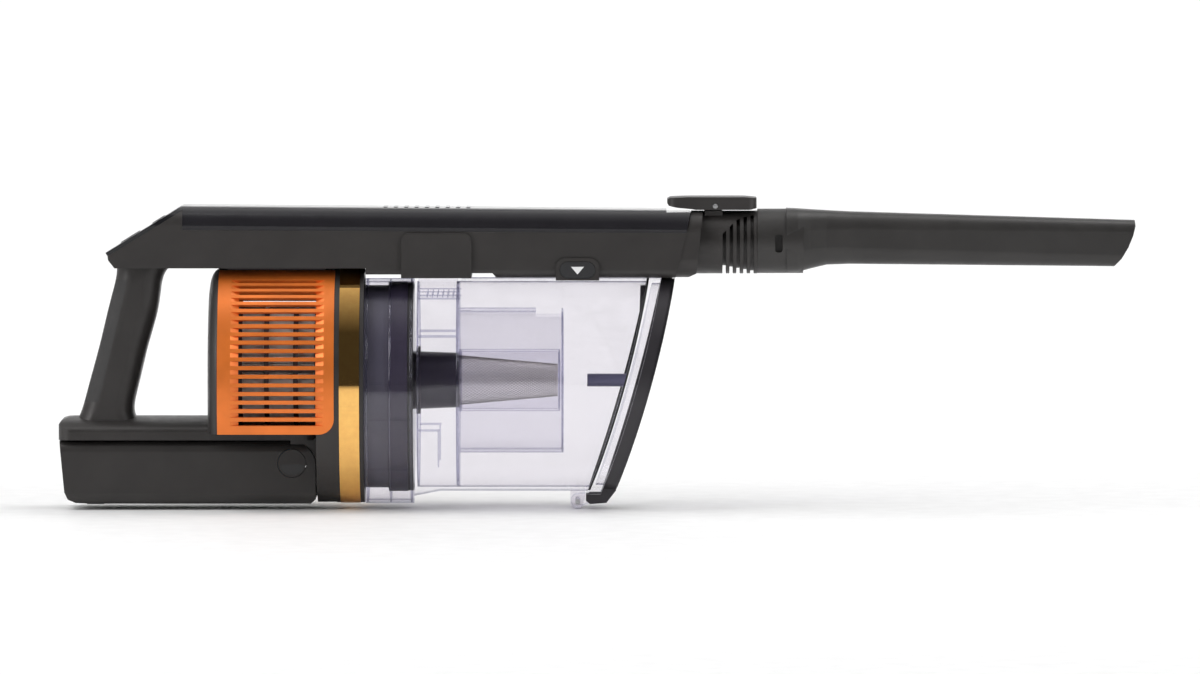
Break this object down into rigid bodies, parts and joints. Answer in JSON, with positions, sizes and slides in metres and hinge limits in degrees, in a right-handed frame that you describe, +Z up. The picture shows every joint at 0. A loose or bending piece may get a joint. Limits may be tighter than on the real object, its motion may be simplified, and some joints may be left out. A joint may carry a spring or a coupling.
{
  "type": "handheld vacuum cleaner",
  "caption": "Cordless handheld vacuum with a slanted loop handle, slotted oval motor pod, clear oval dust cup with a leaning door, and a crevice tool in the nozzle.",
  "frame": {"origin": "middle of the overall bounding box, at its underside", "axes": "+X from the battery base to the tool's tip, +Z up, +Y to the user's left when holding it"},
  "size_m": [0.6662, 0.1092, 0.1933],
  "materials": {
    "dark_body": "satin",
    "tool_dark": "satin",
    "soft_grip": "matt",
    "steel": "bright",
    "cable": "matt",
    "contact_block": "matt",
    "panel_gloss": "gloss",
    "lens": "gloss",
    "board": "matt",
    "button_grey": "satin",
    "gloss_black": "gloss",
    "black_rubber": "matt",
    "inner_dark": "matt",
    "orange_grille": "satin",
    "gold_trim": "polished, gold coloured",
    "filter_paper": "matt",
    "filter_frame": "matt",
    "motor_steel": "satin",
    "stator_steel": "satin",
    "copper": "enamelled copper wire",
    "magnet": "satin",
    "impeller_plastic": "satin",
    "navy": "satin",
    "felt": "matt",
    "foam": "open-cell foam",
    "clear": "clear plastic",
    "clear_inner": "clear plastic",
    "mesh_steel": "fine mesh",
    "rim_dark": "satin",
    "peg_blue": "satin",
    "cell_wrap": "shrink wrap"
  },
  "bodies": {
    "main_body": {"housing_right": "dark_body", "housing_left": "dark_body", "housing_screws": "steel", "palm_grip": "soft_grip", "wiring": "cable", "battery_contacts": "contact_block", "control_panel": "panel_gloss", "status_lens": "lens", "control_board": "board", "top_cover": "gloss_black", "duct_shell": "dark_body", "inlet_saddle": "dark_body", "inlet_gasket": "black_rubber", "air_duct": "inner_dark", "nozzle_housing": "dark_body", "lever_pin": "steel", "pod_rear_cap": "dark_body", "pod_housing": "dark_body", "grille_right": "orange_grille", "grille_left": "orange_grille", "ring_carrier": "dark_body", "trim_ring": "gold_trim", "exhaust_filter": "filter_paper", "filter_frame": "filter_frame", "motor_can": "motor_steel", "motor_bearings": "steel", "stator": "stator_steel", "stator_coils": "copper", "fan_housing": "inner_dark", "filter_housing": "navy", "felt_filter": "felt", "foam_filter": "foam"},
    "power_button_body": {"power_button": "button_grey"},
    "mode_button_body": {"mode_button": "button_grey"},
    "door_button_body": {"door_button": "dark_body"},
    "lever": {"release_lever": "dark_body"},
    "tool": {"crevice_tool": "tool_dark"},
    "rotor": {"motor_shaft": "steel", "rotor_magnet": "magnet", "impeller": "impeller_plastic"},
    "dust_cup": {"cup_shell": "clear", "cup_collar": "clear", "cup_seal": "black_rubber", "shroud_tube": "clear_inner", "cyclone_hub": "navy", "mesh_screen": "mesh_steel", "screen_cage": "clear_inner", "hinge_pin": "steel"},
    "cup_door": {"door_window": "clear", "door_rim": "rim_dark", "door_seal": "black_rubber", "door_peg": "peg_blue", "door_catch": "rim_dark"},
    "battery": {"battery_case": "dark_body", "battery_lid": "dark_body", "battery_cells": "cell_wrap", "battery_feet": "black_rubber"},
    "latch_right_body": {"latch_right": "dark_body"},
    "latch_left_body": {"latch_left": "dark_body"}
  },
  "joints": [
    {"name": "power_press", "type": "slide", "parent": "main_body", "child": "power_button_body", "axis": [0.524, 0, -0.8517], "range_m": [0, 0.0008], "stiffness_N_per_m": 700},
    {"name": "mode_press", "type": "slide", "parent": "main_body", "child": "mode_button_body", "axis": [0.524, 0, -0.8517], "range_m": [0, 0.0008], "stiffness_N_per_m": 700},
    {"name": "door_button_press", "type": "slide", "parent": "main_body", "child": "door_button_body", "axis": [0, 1, 0], "range_m": [0, 0.0018], "stiffness_N_per_m": 700},
    {"name": "lever_rock", "type": "hinge", "parent": "main_body", "child": "lever", "pos_m": [0.073, 0, 0.1876], "axis": [0, 1, 0], "range_deg": [-4, 0], "stiffness_Nm_per_rad": 1.2},
    {"name": "tool_slide", "type": "slide", "parent": "main_body", "child": "tool", "axis": [1, 0, 0], "range_m": [0, 0.06]},
    {"name": "rotor_spin", "type": "hinge", "parent": "main_body", "child": "rotor", "pos_m": [-0.1746, 0, 0.0877], "axis": [1, 0, 0], "continuous": true},
    {"name": "cup_slide", "type": "slide", "parent": "main_body", "child": "dust_cup", "axis": [1, 0, 0], "range_m": [0, 0.045]},
    {"name": "door_hinge", "type": "hinge", "parent": "dust_cup", "child": "cup_door", "pos_m": [-0.0121, 0, 0.0045], "axis": [0, 1, 0], "range_deg": [0, 100]},
    {"name": "battery_slide", "type": "slide", "parent": "main_body", "child": "battery", "axis": [-1, 0, 0], "range_m": [0, 0.165]},
    {"name": "latch_right_press", "type": "slide", "parent": "battery", "child": "latch_right_body", "axis": [0, 1, 0], "range_m": [0, 0.0008], "stiffness_N_per_m": 700},
    {"name": "latch_left_press", "type": "slide", "parent": "battery", "child": "latch_left_body", "axis": [0, -1, 0], "range_m": [0, 0.0008], "stiffness_N_per_m": 700}
  ]
}
